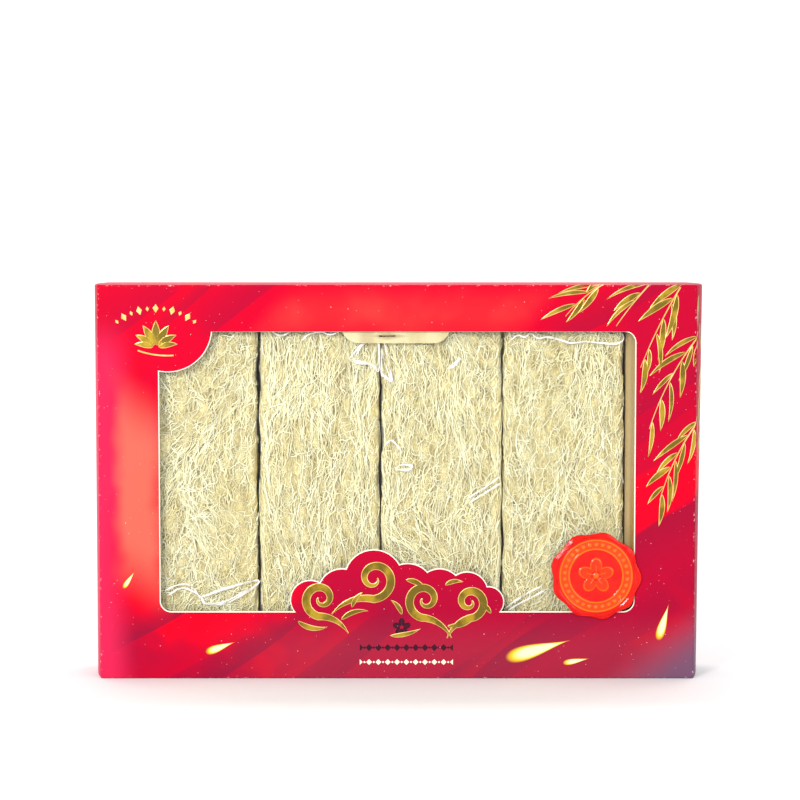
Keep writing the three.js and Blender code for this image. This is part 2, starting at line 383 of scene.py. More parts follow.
def lay_strands(rng, loaf, flow, count, steps, lengths, radii, deepest, stray, curl, wander, crook, mates):
    """Strands that follow the flow up the mat, each with its own stray angle, curl, wander and crooks.

    Mates are strands that run side by side, stuck together here and there."""
    total = count * mates

    def draws(make, first, second, jitter):
        return np.repeat(make(first, second, count), mates) + rng.normal(0, jitter, total)

    front = np.repeat(rng.random(count) < FRONT_SHARE, mates)
    past = 0.7 * BRICK_ROUND
    on_front = draws(rng.uniform, -past, loaf.sides[0] + past, 0.8 * MM)
    anywhere = draws(rng.uniform, 0, loaf.girth, 0.8 * MM)
    way = np.where(front, on_front, anywhere)
    top = loaf.top + 1.4 * BRICK_ROUND
    height = draws(rng.uniform, -top, top, 4 * MM * (mates > 1))
    length = rng.uniform(lengths[0] * MM, lengths[1] * MM, total)
    stride = length / steps
    bias = draws(rng.normal, 0, stray, 0.04)
    turning = draws(rng.normal, 0, curl, 0.1 * curl)
    wave = draws(rng.uniform, 3.5, 9, 0.3) * MM
    phase = draws(rng.uniform, 0, 2 * math.pi, 0.5)
    strength = wander * draws(rng.uniform, 0.4, 1.5, 0.1)
    height = height - length / 2
    ways, heights = [], []
    for step in range(steps):
        ways.append(way)
        heights.append(height)
        angle = flow(way, height) + bias + turning * (step - steps / 2) * stride / MM
        gone = step * stride / wave
        angle += strength * (np.sin(gone * 2 + phase) + 0.6 * np.sin(gone * 4.7 + 2.3 * phase))
        angle += draws(rng.normal, 0, crook, 0.2 * crook)
        way = way + stride * np.sin(angle)
        height = height + stride * np.cos(angle)
    ways = np.stack(ways, axis=1)
    limit = loaf.top + BEND + 0.8 * loaf.core[1]
    heights = np.clip(np.stack(heights, axis=1), -limit, limit)
    gone = np.arange(steps)[None, :] * (stride / wave)[:, None]
    deep = rng.uniform(0, deepest * MM, total)[:, None]
    deep = deep + 0.22 * MM * (1 + np.sin(1.3 * gone + 2 * phase[:, None]))
    thick = rng.uniform(radii[0] * MM, radii[1] * MM, total)[:, None]
    taper = np.clip(6 * np.sin(np.linspace(0, math.pi, steps)), 0.15, 1)[None, :]
    swell = 1 + 0.4 * np.sin(2.3 * gone + 5 * phase[:, None])
    thick = thick * taper * swell
    points, sides, ends = strand_tubes(*loaf.place(ways, heights, deep + thick), thick)
    depth = np.repeat(np.clip(deep / SUNK_DEPTH, 0, 1).ravel(), 3)
    tint = np.repeat(rng.random(total), steps * 3)
    return points, sides, ends, depth, tint


def matted_core(rng, loaf, flow):
    """The close mat under the loose strands, ribbed along the flow and sunk into small hollows."""
    round_count = int(loaf.girth / MAT_STEP)
    limit = loaf.top + BEND + loaf.core[1]
    up_count = int(2 * limit / MAT_STEP)
    ways = np.arange(round_count) * loaf.girth / round_count
    way, height = np.meshgrid(ways, np.linspace(-limit, limit, up_count), indexing="ij")
    slant = way - height * np.sin(flow(way, height))
    ribs = np.sin(slant / (1.1 * MM) + 1.6 * waves(rng, 7 * MM, 14 * MM)(way, height))
    pits = waves(rng, 1.5 * MM, 3.4 * MM, 9)(way, height)
    dip = (1.75 - 0.3 * ribs) * MM + 0.9 * MM * np.clip(pits - 0.2, 0, 1.2)
    points, _ = loaf.place(way, height, dip)
    for end in (0, -1):
        points[:, end] = points[:, end].mean(axis=0)
    faces = faces_round(np.arange(way.size).reshape(way.shape)).reshape(-1, 4)
    depth = np.clip(dip / SUNK_DEPTH, 0, 1)
    return points.reshape(-1, 3), faces, depth.ravel(), np.full(depth.size, 0.5)


# Thin wandering lines, as fibres lie in a mat: the contours of cloudy noise, 1 on a line, else 0
def fibres(place, cell, lines):
    ground = mottle(place, cell, 1.5, 0.6) * lines
    return rise(abs(reckon("FRACT", ground) - 0.5), 0.2, 0.04)


def nest_finish(name, matted):
    finish, tree, surface = start_finish(name, 0.3)
    place = place_in_mm(tree)
    streaks = mottle(place, (0.5, 0.8, 4.5), 3.0, 0.6)
    patches = mottle(place, (11, 11, 20), 2.0)
    sunk = noted(tree, "depth") + (0.45 - noted(tree, "tint")) * 0.5
    sunk = sunk + (0.5 - patches) * 0.35 + (0.5 - streaks) * 0.5
    relief = streaks
    if matted:
        crossing = fibres(place, (3.1, 3.1, 3.9), 6)
        relief = reckon("MAXIMUM", fibres(place, (2.2, 2.2, 10), 7), crossing * 0.85)
        sunk = sunk + (0.45 - relief) * 0.55
    # Painted shade: the deeper a place lies, the more its colour goes from pale cream through straw to olive
    shade = blend(rise(sunk, 0.0, 0.32), NEST_PALE, NEST_CREAM)
    shade = blend(rise(sunk, 0.28, 0.62), shade, NEST_HALF_SHADE_STRAW)
    shade = blend(rise(sunk, 0.6, 1.05), shade, NEST_SHADE_OLIVE)
    feed(surface.inputs["Base Color"], shade)
    emboss(surface, relief, 0.35 if matted else 0.12, 0.6)
    return finish


# How each brick is laid: lean and stray of its strands, combed locks, stray strands and short curls
BRICK_LAYS = [
    (0.55, 1.4, 50, 640, 1430), (0.24, 0.9, 105, 450, 1280), (0.26, 1.0, 90, 500, 1320),
    (0.26, 1.0, 45, 560, 1850),
]


def make_brick(index, finishes):
    node = f"nest_brick_{index + 1}"
    rng = np.random.default_rng(41 + index)
    loaf = Loaf(node, 1.9 * index)
    lean, wild, locks, strays, curled = BRICK_LAYS[index]
    sway = waves(rng, 9 * MM, 22 * MM)

    def flow(way, height):
        return lean * sway(way, height)

    # Kinds of strand: their number and steps, lengths, radii and greatest depth in millimetres,
    # then stray, curl, wander, crook and mates
    kinds = [
        (locks, 34, (25, 75), (0.24, 0.42), 1.1, 0.12 * wild, 0.002, 0.3 * wild, 0.16, 3),
        (strays, 16, (9, 26), (0.22, 0.40), 1.2, 0.45 * wild, 0.02 * wild, 0.4 * wild, 0.3, 1),
        (curled, 8, (4, 11), (0.20, 0.38), 1.2, 0.75, 0.12, 0.35, 0.38, 1),
    ]
    share = 1.0
    points, faces, depths, tints = ([part] for part in matted_core(rng, loaf, flow))
    mat_count = len(faces[0])
    for count, *manner in kinds:
        start = sum(len(group) for group in points)
        tubes, sides, ends, depth, tint = lay_strands(rng, loaf, flow, int(count * share), *manner)
        points.append(tubes)
        faces += [sides + start, ends + start]
        depths.append(depth)
        tints.append(tint)
    piece = new_piece(f"nest_strands_{index + 1}", np.concatenate(points), faces)
    looks = np.zeros(len(piece.data.polygons), np.int32)
    looks[:mat_count] = 1
    piece.data.polygons.foreach_set("material_index", looks)
    note_on(piece, "depth", np.concatenate(depths))
    note_on(piece, "tint", np.concatenate(tints))
    dress(piece, *finishes)
    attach(piece, "root")
    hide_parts(node)


brick_finishes = [nest_finish("nest", False), nest_finish("nest_mat", True)]
for brick in range(BRICK_COUNT):
    make_brick(brick, brick_finishes)


# The bags: each brick is slipped into a thin clear pouch, folded shut at the top. The film is all but
# unseen; what shows is its creases and the folded edges of its flaps, drawn as fine lines of opaque
# white that are painted highlight.
BAG_SQUARENESS = 8
BAG_SHOULDER = 3.4 * MM
BAG_FIN = 1.2 * MM
BAG_GAP = 0.05 * MM
BAG_ROUND_COUNT = 120
BAG_UP_COUNT = 96
CREASE_WIDTH = 0.85
CREASE_RISE = 0.25
FILM_TINT = (0.96, 0.95, 0.92, 1)
BAG_GLOSS = 1.3
BAG_GLOSS_MOST = 0.35

# Creases seen on each bag, and the edges of its folded flaps, as points from its middle and the
# set's foot, in millimetres
BAG_CREASES = {
    1: [
        [(-16, 41), (-9, 44), (-3, 43.5), (1, 38)], [(-14, 39), (-7, 42.5), (0, 39.5), (4, 35)],
        [(2, 38), (16, 43), (29, 46.5)], [(3, 35), (13, 36), (25, 42.5)],
    ],
    2: [
        [(-22, 164), (-18, 162), (-14, 163.5)], [(-8, 159.5), (-5, 162.5), (1, 164), (5, 162.5), (10, 164)],
        [(17, 152), (20.5, 157.5), (25.5, 161.5), (28, 161)],
        [(17, 152), (17, 149.5), (24, 148.5), (28, 146)],
    ],
    3: [
        [(-28.2, 161), (-26.5, 157), (-24.5, 147), (-22.8, 140)], [(-28.2, 144.5), (-26, 142), (-22.8, 140)],
        [(-26.5, 110.5), (-24, 112.6), (-21.5, 111), (-19, 107.5)], [(12, 85), (20, 90), (27.5, 95.5)],
        [(13, 83), (21, 88), (28, 92.5)],
    ],
    4: [
        [(-26, 159.5), (-22, 162.2), (-18.5, 161.3), (-16, 163.2), (-12.5, 160.8), (-8, 161.4), (-2, 160),
         (3, 158.6), (10, 159.2), (17, 158.6), (24, 158.2), (27.5, 160), (27.2, 163)],
        [(-27.5, 32.5), (-24, 35.5), (-17, 40), (-9, 44)], [(-26, 31.8), (-20, 35.5), (-14, 38.5), (-8, 42)],
    ],
}
BAG_FLAPS = {
    1: [[(1, 38), (15, 43), (29, 46), (24, 41), (13, 35), (4, 35)]],
    2: [[(14.2, 151), (19.8, 157.7), (24.6, 161.6), (27.5, 160.7), (28.2, 157), (28.2, 145.5), (25, 148),
         (19, 150)]],
    3: [[(-28.2, 156), (-27.6, 151.8), (-24, 141.2), (-26.4, 143), (-28.2, 144.2)],
        [(3, 146.6), (6.4, 149.6), (8.3, 151.6), (7.6, 149.8), (5.2, 147.2)],
        [(-22, 99), (-19, 101), (-14, 100.5), (-16, 98.5)]],
}


def smooth_path(points, steps=6):
    """A curve through the points, as Catmull and Rom draw it."""
    points = np.array(points, float)
    ends = np.concatenate([[2 * points[0] - points[1]], points, [2 * points[-1] - points[-2]]])
    made = []
    for before, first, last, after in zip(ends, ends[1:], ends[2:], ends[3:]):
        for share in np.arange(steps) / steps:
            made.append(0.5 * (2 * first + (last - before) * share
                               + (2 * before - 5 * first + 4 * last - after) * share ** 2
                               + (3 * first - before - 3 * last + after) * share ** 3))
    return np.array(made + [points[-1]])


def ease(share):
    """From 0 to 1, level at both ends."""
    share = np.clip(share, 0, 1)
    return share * share * (3 - 2 * share)


def strip_shell(path, half_widths, front, rise_out, rim):
    """A closed flat strip on a face that looks to the front: points, rim faces and middle faces."""
    along = np.gradient(path, axis=0)
    along /= np.linalg.norm(along, axis=1, keepdims=True) + 1e-12
    aside = np.stack([-along[:, 1], along[:, 0]], axis=1)
    inner = np.maximum(half_widths - rim, 0.3 * half_widths)
    rows = []
    for reach, height in ((-half_widths, 0), (-inner, rise_out), (inner, rise_out), (half_widths, 0)):
        flat = path + aside * reach[:, None]
        rows.append(np.stack([flat[:, 0], np.full(len(path), front - height), flat[:, 1]], axis=1))
    ring = np.arange(4 * len(path)).reshape(len(path), 4)
    faces = faces_round(ring.T)
    rims = [faces[0], faces[2], faces[3], np.stack([ring[0, ::-1], ring[-1]])]
    return np.stack(rows, axis=1).reshape(-1, 3), np.concatenate(rims), faces[1]


def capped(points, first_hub, last_hub):
    """A grid of points that goes round on its first axis, closed by a fan of faces at each end."""
    index = np.arange(points[..., 0].size).reshape(points.shape[:2])
    after = np.roll(index, -1, axis=0)
    hub = np.full(len(index), index.size)
    first = np.stack([index[:, 0], hub, after[:, 0]], axis=1)
    last = np.stack([index[:, -1], after[:, -1], hub + 1], axis=1)
    points = np.concatenate([points.reshape(-1, 3), [first_hub, last_hub]])
    return points, faces_round(index).reshape(-1, 4), np.concatenate([first, last])


class Shells:
    """Closed shells gathered into one mesh, each turned so that its faces point out."""

    def __init__(self, smooth_looks=()):
        self.points, self.faces, self.looks, self.smooth, self.start = [], [], [], [], 0
        self.smooth_looks = smooth_looks

    def add(self, points, *groups):
        volume = 0
        for faces, _ in groups:
            corners = points[faces] - points.mean(axis=0)
            for turn in range(1, faces.shape[1] - 1):
                across = np.cross(corners[:, turn], corners[:, turn + 1])
                volume += np.einsum("ij,ij->", corners[:, 0], across)
        for faces, look in groups:
            if len(faces):
                self.faces.append((faces[:, ::-1] if volume < 0 else faces) + self.start)
                self.looks.append(np.full(len(faces), look))
                self.smooth.append(np.full(len(faces), look in self.smooth_looks))
        self.points.append(points)
        self.start += len(points)

    def build(self, name):
        piece = new_piece(name, np.concatenate(self.points), self.faces)
        piece.data.polygons.foreach_set("material_index", np.concatenate(self.looks).astype(np.int32))
        piece.data.polygons.foreach_set("use_smooth", np.concatenate(self.smooth))
        return piece


# The mirror gloss of a film's outer face; its inner face gives none
def face_gloss(tree, film_index):
    edge = tree.nodes.new("ShaderNodeFresnel")
    edge.inputs["IOR"].default_value = film_index
    facing = tree.nodes.new("ShaderNodeNewGeometry")
    return Shade(edge.outputs[0]) * (1 - Shade(facing.outputs["Backfacing"]))


def show_through(surface, share):
    """What is behind a film shows through it, but for a share of the film's own surface."""
    tree = share.tree
    through = tree.nodes.new("ShaderNodeBsdfTransparent")
    mixed = tree.nodes.new("ShaderNodeMixShader")
    feed(mixed.inputs[0], share)
    tree.links.new(through.outputs[0], mixed.inputs[1])
    tree.links.new(surface.outputs[0], mixed.inputs[2])
    tree.links.new(mixed.outputs[0], tree.nodes["Material Output"].inputs["Surface"])


def bag_finish(name, roughness, milk_and_painted_glint):
    """Clear film with its outer face's gloss and whitened folds: slight milk, and painted highlight on
    creases.
    """
    finish, tree, surface = start_finish(name, roughness)
    feed(surface.inputs["Base Color"], FILM_TINT)
    wrinkle = mottle(place_in_mm(tree), (7, 7, 12), 3.0, 0.6)
    gloss = reckon("MINIMUM", face_gloss(tree, 1.4) * BAG_GLOSS, BAG_GLOSS_MOST)
    show_through(surface, gloss + rise(wrinkle, 0.25, 0.8) * milk_and_painted_glint)
    emboss(surface, wrinkle, 0.5, 0.5)
    return finish


def make_bag(index, finishes):
    node = f"bag_{index}"
    low, high = (np.array(corner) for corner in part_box(node))
    middle = (low + high) / 2
    half = (high - low) / 2 - BAG_GAP
    tall = 2 * half[2]
    rng = np.random.default_rng(70 + index)
    crinkle = waves(rng, 7 * MM, 11 * MM, 8)
    folds = waves(rng, 2.6 * MM, 9 * MM, 6)
    turn = np.arange(BAG_ROUND_COUNT) / BAG_ROUND_COUNT * 2 * math.pi
    up = np.concatenate([[0, 0.2, 0.6], np.linspace(1.2, tall / MM, BAG_UP_COUNT)]) * MM
    turn, up = np.meshgrid(turn, up, indexing="ij")
    circle = np.stack([np.cos(turn), np.sin(turn)])
    side, face = np.sign(circle) * np.abs(circle) ** (2 / BAG_SQUARENESS)
    drawn = ease((up - (tall - BAG_SHOULDER)) / BAG_SHOULDER)
    foot = 0.9 + 0.1 * np.clip(up / (1.2 * MM), 0, 1) ** 0.4
    way = half[0] * side - half[1] * face
    sunk = 0.25 * (1 + np.tanh(2 * crinkle(way, up))) + 0.12 * (1 + np.tanh(3 * folds(way, up)))
    sunk = sunk * MM * (1 - 0.8 * drawn)
    x = (half[0] - sunk) * side * foot
    y = ((half[1] - sunk) * (1 - drawn) + BAG_FIN * drawn) * face * foot
    points = np.stack([middle[0] + x, middle[1] + y, low[2] + up], axis=-1)
    hubs = [[middle[0], middle[1], low[2]], [middle[0], middle[1], high[2] - BAG_GAP]]
    points, sides, ends = capped(points, *hubs)
    shells = Shells(smooth_looks=(0,))
    shells.add(points, (sides, 0), (ends, 0))
    front = low[1] - 0.02 * MM
    edges = [flap + flap[:1] for flap in BAG_FLAPS.get(index, [])]
    for crease in BAG_CREASES[index] + edges:
        path = smooth_path(crease) * MM + [middle[0], 0]
        share = np.linspace(0, 1, len(path))
        width = CREASE_WIDTH / 2 * MM * (0.35 + 0.65 * np.sin(math.pi * share) ** 0.5)
        width = width * (1 + 0.3 * np.sin(17 * share))
        ridge, rims, crest = strip_shell(path, width, front, CREASE_RISE * MM, 0.7 * width)
        shells.add(ridge, (rims, 1), (crest, 1))
    piece = shells.build(f"bag_film_{index}")
    dress(piece, *finishes)
    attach(piece, "root")
    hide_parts(node)


# The creases' film is opaque white: painted highlight where the folds catch the light
bag_finishes = [bag_finish("clear_bag", 0.16, 0.03), bag_finish("bag_crease_painted_glint", 0.2, 1.5)]
for bag in range(1, BRICK_COUNT + 1):
    make_bag(bag, bag_finishes)


# The thumb tab: a lozenge of gold card that stands at the top of the tray, with an embossed rim and
# a die-cut slit. Its cream colour is a painted reflection of the bright studio in the foil. It is
# punched from the tray's own blank and left flat behind the film.
TAB_CREAM_REFLECTION = (0.49, 0.42, 0.20, 1)
TAB_PALE_REFLECTION = (0.58, 0.53, 0.30, 1)
TAB_PAINTED_SHADE = (0.36, 0.25, 0.11, 1)
SLIT_X = -4.9
SLIT_Z = 161.9
PAINTED_SHADOW_X = SLIT_X - 10


def tab_finish():
    finish, tree, surface = start_finish("cream_card", 0.55)
    place = place_in_mm(tree)
    x, _, z = split(place)
    # Painted reflection: the gold card is painted cream, as its foil reflects the bright studio
    card = blend(rise(mottle(place, (9, 9, 14), 2.0), 0.4, 0.65), TAB_PALE_REFLECTION, TAB_CREAM_REFLECTION)
    # Painted shade round the slit, and a painted shadow beside it to the left
    near_slit = rise(abs(x - SLIT_X) * 0.12 + abs(z - SLIT_Z) * 0.6, 1.5, 0.5)
    painted_shadow = rise(abs(x - PAINTED_SHADOW_X), 5.5, 0.5)
    card = blend(reckon("MAXIMUM", near_slit * 0.8, painted_shadow * 0.55), card, TAB_PAINTED_SHADE)
    feed(surface.inputs["Base Color"], card)
    emboss(surface, mottle(place, (1.2, 1.2, 1.2)), 0.04, 0.5)
    return finish


dress(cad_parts["thumb_tab"], tab_finish())


# The lid: thin card, printed outside, die-cut and folded into a shallow box that slides over the tray.
# Its side walls bow outwards a little. The die leaves a pale bevelled edge round the window, hardly
# any along its head, and the outline keeps a round lobe at the upper left and a tongue at the foot.
BOW_LEFT = 3.2 * MM
BOW_RIGHT_LOW = 2.9 * MM
BOW_RIGHT_HIGH = 4.5 * MM
CARD = 1.0 * MM
FOLD_ROUND = 0.9 * MM
CUT_SLOPE = 0.45
CUT_DEPTH = 0.35 * MM
WINDOW_HALF = 111.5
WINDOW_LOW = 32
WINDOW_HIGH = 164
WINDOW_CORNER = 5
LOBE = (-107.5, 166, 21)
CLOUD_PUFFS = [
    (-41, 37.5, 9.5), (-26, 41, 11.5), (-11, 47.5, 14), (5, 42.5, 12.5), (20, 41.5, 11), (33, 41, 10),
    (43, 36.5, 7.5),
]

lid_low, lid_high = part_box("lid")
lid_left = lid_low.x + BOW_LEFT
lid_right = lid_high.x - BOW_RIGHT_HIGH
lid_middle = (lid_left + lid_right) / 2
lid_front = lid_low.y
lid_depth = lid_high.y - lid_low.y
lid_top = lid_high.z


def arc(centre, radius, first, last, steps):
    angles = np.linspace(first, last, steps)
    return np.stack([centre[0] + radius * np.cos(angles), centre[1] + radius * np.sin(angles)], axis=1)


def window_outline(grow):
    """The window's edge, moved outwards by grow into the card, in metres from the set's middle."""
    low = WINDOW_LOW - grow
    puffs = [(x, z, radius - grow) for x, z, radius in CLOUD_PUFFS]
    meets = []
    for (x1, z1, r1), (x2, z2, r2) in zip(puffs, puffs[1:]):
        gap = np.array([x2 - x1, z2 - z1])
        distance = np.linalg.norm(gap)
        along = (r1 * r1 - r2 * r2 + distance * distance) / (2 * distance)
        off = math.sqrt(r1 * r1 - along * along)
        meets.append(np.array([x1, z1]) + (gap * along + np.array([-gap[1], gap[0]]) * off) / distance)
    outline = []
    for index, (x, z, radius) in enumerate(puffs):
        if index == 0:
            first = math.pi - math.asin((low - z) / radius)
        else:
            first = math.atan2(meets[index - 1][1] - z, meets[index - 1][0] - x)
        if index == len(meets):
            last = math.asin((low - z) / radius)
        else:
            last = math.atan2(meets[index][1] - z, meets[index][0] - x)
        outline.append(arc((x, z), radius, first, last, 14))
    side = WINDOW_HALF - WINDOW_CORNER
    foot = WINDOW_LOW + WINDOW_CORNER
    head = WINDOW_HIGH - WINDOW_CORNER
    corner = WINDOW_CORNER + grow
    outline.append(arc((side, foot), corner, -math.pi / 2, 0, 9))
    outline.append(arc((side, head), corner, 0, math.pi / 2, 9))
    radius = LOBE[2] - grow
    first = math.asin((WINDOW_HIGH + grow - LOBE[1]) / radius)
    last = -math.acos((-WINDOW_HALF - grow - LOBE[0]) / radius)
    outline.append(arc(LOBE, radius, first, last, 36))
    outline.append(arc((-side, foot), corner, math.pi, 1.5 * math.pi, 9))
    return np.concatenate(outline) * MM + [lid_middle, 0]


def lid_ring(inset, corner):
    """Points round the lid, seen from the front, this far inside its faces, and each one's side."""
    left, right = lid_left + inset + corner, lid_right - inset - corner
    foot, head = inset + corner, lid_top - inset - corner
    corners = [(right, foot), (right, head), (left, head), (left, foot)]
    ring, sides = [], []
    for index, centre in enumerate(corners):
        after = (index + 1) % 4
        end = index * math.pi / 2
        bend = arc(centre, corner, end - math.pi / 2, end, 6)
        following = arc(corners[after], corner, end, end, 1)[0]
        steps = 18 if index % 2 == 0 else 26
        straight = bend[-1] + np.linspace(0, 1, steps + 1)[1:-1, None] * (following - bend[-1])
        ring += [bend, straight]
        sides += [index] * 3 + [after] * (3 + len(straight))
    return np.concatenate(ring), np.array(sides)


def lid_level(inset, depth, corner):
    """One ring of the lid's wall at a depth behind the front, bowed, with its place on the flat print."""
    ring, sides = lid_ring(inset, corner)
    across = math.sin(math.pi * min(max(depth / lid_depth, 0), 1))
    share = (ring[:, 0] - lid_left) / (lid_right - lid_left)
    right = BOW_RIGHT_LOW + (BOW_RIGHT_HIGH - BOW_RIGHT_LOW) * ring[:, 1] / lid_top
    x = ring[:, 0] + across * (right * share - BOW_LEFT * (1 - share))
    points = np.stack([x, np.full(len(x), lid_front + depth), ring[:, 1]], axis=1)
    return points, ring + np.array([[0, -1], [1, 0], [0, 1], [-1, 0]])[sides] * depth


def panel_faces(outer, hole, outer_start, hole_start):
    """Triangles that fill a flat panel between its outer edge and the window's edge, facing the front."""
    loops = [[Vector((x, z, 0)) for x, z in edge] for edge in (outer, hole)]
    faces = np.array(tessellate_polygon(loops))
    flat = np.concatenate([outer, hole])
    backwards = np.cross(flat[faces[:, 1]] - flat[faces[:, 0]], flat[faces[:, 2]] - flat[faces[:, 0]]) < 0
    faces[backwards] = faces[backwards][:, ::-1]
    return np.where(faces < len(outer), faces + outer_start, faces - len(outer) + hole_start)


def rings_joined(start, rings, count):
    """Faces between each ring of points and the next, turned as the panel's triangles are."""
    index = start + np.arange(rings * count).reshape(rings, count)
    return faces_round(index.T).swapaxes(0, 1).reshape(-1, 4)


def make_lid(finishes):
    levels = []
    for step in range(6):
        angle = step / 5 * math.pi / 2
        levels.append((FOLD_ROUND * (1 - math.sin(angle)), FOLD_ROUND * (1 - math.cos(angle)), 1.0))
    levels += [(0, depth, 0.0) for depth in np.linspace(FOLD_ROUND, lid_depth, 11)[1:]]
    outer_count = len(levels)
    levels += [(CARD, depth, 0.0) for depth in np.linspace(lid_depth, CARD, 11)]
    points, print_places, wear_and_sheen = [], [], []
    for number, (inset, depth, wear_and_sheen_share) in enumerate(levels):
        ring, place = lid_level(inset, depth, FOLD_ROUND if number < outer_count else 0.2 * MM)
        points.append(ring)
        print_places.append(place)
        # Fold rings are whitened as rubbed wear and as painted highlight on the rounded fold
        wear_and_sheen.append(np.full(len(ring), wear_and_sheen_share * (0.3 if depth == 0 else 1)))
    count = len(points[0])
    last = (len(levels) - 1) * count
    start = len(levels) * count
    for grow, depth in ((CUT_SLOPE, 0), (0, CUT_DEPTH), (0, CARD)):
        outline = window_outline(grow)
        outline[:, 1] = np.minimum(outline[:, 1], (WINDOW_HIGH + 0.25 * grow) * MM)
        points.append(np.insert(outline, 1, lid_front + depth, axis=1))
        print_places.append(outline)
        wear_and_sheen.append(np.full(len(outline), 0.6 if depth == 0 else 0.0))
    hole = len(points[-1])
    front = panel_faces(points[0][:, [0, 2]], points[-3][:, [0, 2]], 0, start)
    back = panel_faces(points[-4][:, [0, 2]], points[-1][:, [0, 2]], last, start + 2 * hole)
    outside = rings_joined(0, outer_count, count)
    inside = rings_joined((outer_count - 1) * count, len(levels) - outer_count + 1, count)
    cut = rings_joined(start, 3, hole)
    # The panel's triangles look to the front; the rings are turned to agree with them
    groups = [(front, 0), (back[:, ::-1], 1), (outside[:, ::-1], 0), (inside[:, ::-1], 1), (cut, 1)]
    shells = Shells()
    shells.add(np.concatenate(points), *groups)
    lid = shells.build("lid_card")
    soft = [np.full(len(faces), number == 2) for number, (faces, _) in enumerate(groups)]
    lid.data.polygons.foreach_set("use_smooth", np.concatenate(soft))
    placed = lid.data.attributes.new("print_place", "FLOAT_VECTOR", "POINT")
    flat = np.insert(np.concatenate(print_places) / MM, 2, 0, axis=1)
    placed.data.foreach_set("vector", flat.astype(np.float32).ravel())
    note_on(lid, "wear_and_sheen", np.concatenate(wear_and_sheen))
    dress(lid, *finishes)
    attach(lid, "root")
    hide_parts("lid")


# The print is a flow of folded silk in reds, with drifting sparks; it wraps round the folds.
RED = (0.54, 0.001, 0.020, 1)
BRIGHT_RED = (0.68, 0.001, 0.014, 1)
CRIMSON = (0.35, 0.003, 0.028, 1)
DEEP_CRIMSON = (0.20, 0.006, 0.032, 1)
ROSE = (0.66, 0.020, 0.080, 1)
# The next three colours are painted glare, sheen and reflection of the lamps on the card
SALMON_PRINT_AND_GLARE = (0.88, 0.135, 0.088, 1)
ORANGE_RED_SHEEN = (0.82, 0.030, 0.028, 1)
PURPLE_REFLECTION = (0.14, 0.072, 0.126, 1)
HAZE = (0.30, 0.045, 0.070, 1)
INK = (0.030, 0.010, 0.020, 1)
BORDER_CREAM = (0.93, 0.86, 0.62, 1)
SPARK_CREAM = (1.0, 0.90, 0.50, 1)
SPARK_YELLOW = (1.0, 0.60, 0.02, 1)
WEAR_AND_SHEEN_WHITE = (0.88, 0.74, 0.74, 1)
BOARD = (0.80, 0.73, 0.58, 1)
BOARD_PALE = (0.92, 0.88, 0.78, 1)

# Folds of the silk: a place on the crisp edge, its heading in degrees, how far it runs each way,
# how far the fold's colour fades to the left of the heading, the colour and its strength
FOLDS = [
    (-128, 164, 40, 44, 28, CRIMSON, 0.60), (-66, 176, 38, 34, 26, CRIMSON, 0.75),
    (-92, 181, 41, 30, 12, DEEP_CRIMSON, 0.40), (-133, 132, 34, 26, 30, BRIGHT_RED, 0.90),
    (-131, 104, 228, 34, 26, DEEP_CRIMSON, 0.62), (-122, 98, 44, 60, 16, ROSE, 0.45),
    (-134, 76, 37, 38, 22, CRIMSON, 0.85), (-128, 42, 38, 44, 30, RED, 0.70),
    (-120, 22, 36, 56, 16, DEEP_CRIMSON, 0.72), (-96, 8, 33, 62, 20, RED, 0.55),
    (-78, 4, 37, 54, 15, DEEP_CRIMSON, 0.70), (-44, 4, 35, 50, 9, RED, 0.75),
    (-30, -2, 38, 62, 22, DEEP_CRIMSON, 0.65), (22, 4, 218, 70, 26, DEEP_CRIMSON, 0.75),
    (32, -4, 36, 60, 9, RED, 0.60), (52, -4, 34, 70, 26, DEEP_CRIMSON, 0.55),
    (92, 6, 36, 56, 20, CRIMSON, 0.75), (118, 96, 34, 40, 26, DEEP_CRIMSON, 0.50),
    (112, 70, 214, 60, 30, DEEP_CRIMSON, 0.65), (124, 128, 38, 34, 18, DEEP_CRIMSON, 0.60),
    (58, 170, 37, 40, 20, RED, 0.80), (104, 172, 35, 40, 24, DEEP_CRIMSON, 0.50),
]

# Drifting sparks: middle across and up, length, width, and the heading of the round end in degrees
SPARKS = [
    (-84, 15, 14, 5.0, 200), (66, 14, 30, 9.5, 196), (84, 8.5, 12, 3.6, 190), (125, 27, 17, 5.6, 254),
    (-127, 47, 9, 3.0, 236),
]

# Two running borders under the tongue: height, half height of a lozenge, radius of a dot, colour
BORDERS = [(14.8, 1.7, 0.5, INK), (7.9, 1.35, 0.4, BORDER_CREAM)]
BORDER_MIDDLE = 3.7
BORDER_CELL = 4.4
BORDER_CELLS = 10
BLOSSOM = (1.5, 24.5)


def between(value, first, last, soft):
    return rise(value, first - soft, first + soft) * rise(value, last + soft, last - soft)


def along_and_aside(u, v, x, z, degrees):
    """How far a place lies along a heading from a point, and how far to the left of it."""
    ahead, left = math.cos(math.radians(degrees)), math.sin(math.radians(degrees))
    across, up = u - x, v - z
    return across * ahead + up * left, up * ahead - across * left


def silk(u, v, drift, ripple):
    """The folded silk: each fold starts at a crisp edge and fades away behind it."""
    colour = blend(rise(v + drift * 60, 26, 92), CRIMSON, RED)
    colour = blend(rise(drift + ripple * 0.4, 0.0, 0.2), colour, BRIGHT_RED)
    bend = drift * 22
    for x, z, heading, run, fade, tint, strength in FOLDS:
        along, aside = along_and_aside(u, v, x, z, heading)
        aside = aside + bend
        behind = rise(aside, 0, 0.35) * rise(aside, fade, 0)
        colour = blend(behind * rise(abs(along), run, 0.55 * run) * strength, colour, tint)
    return colour


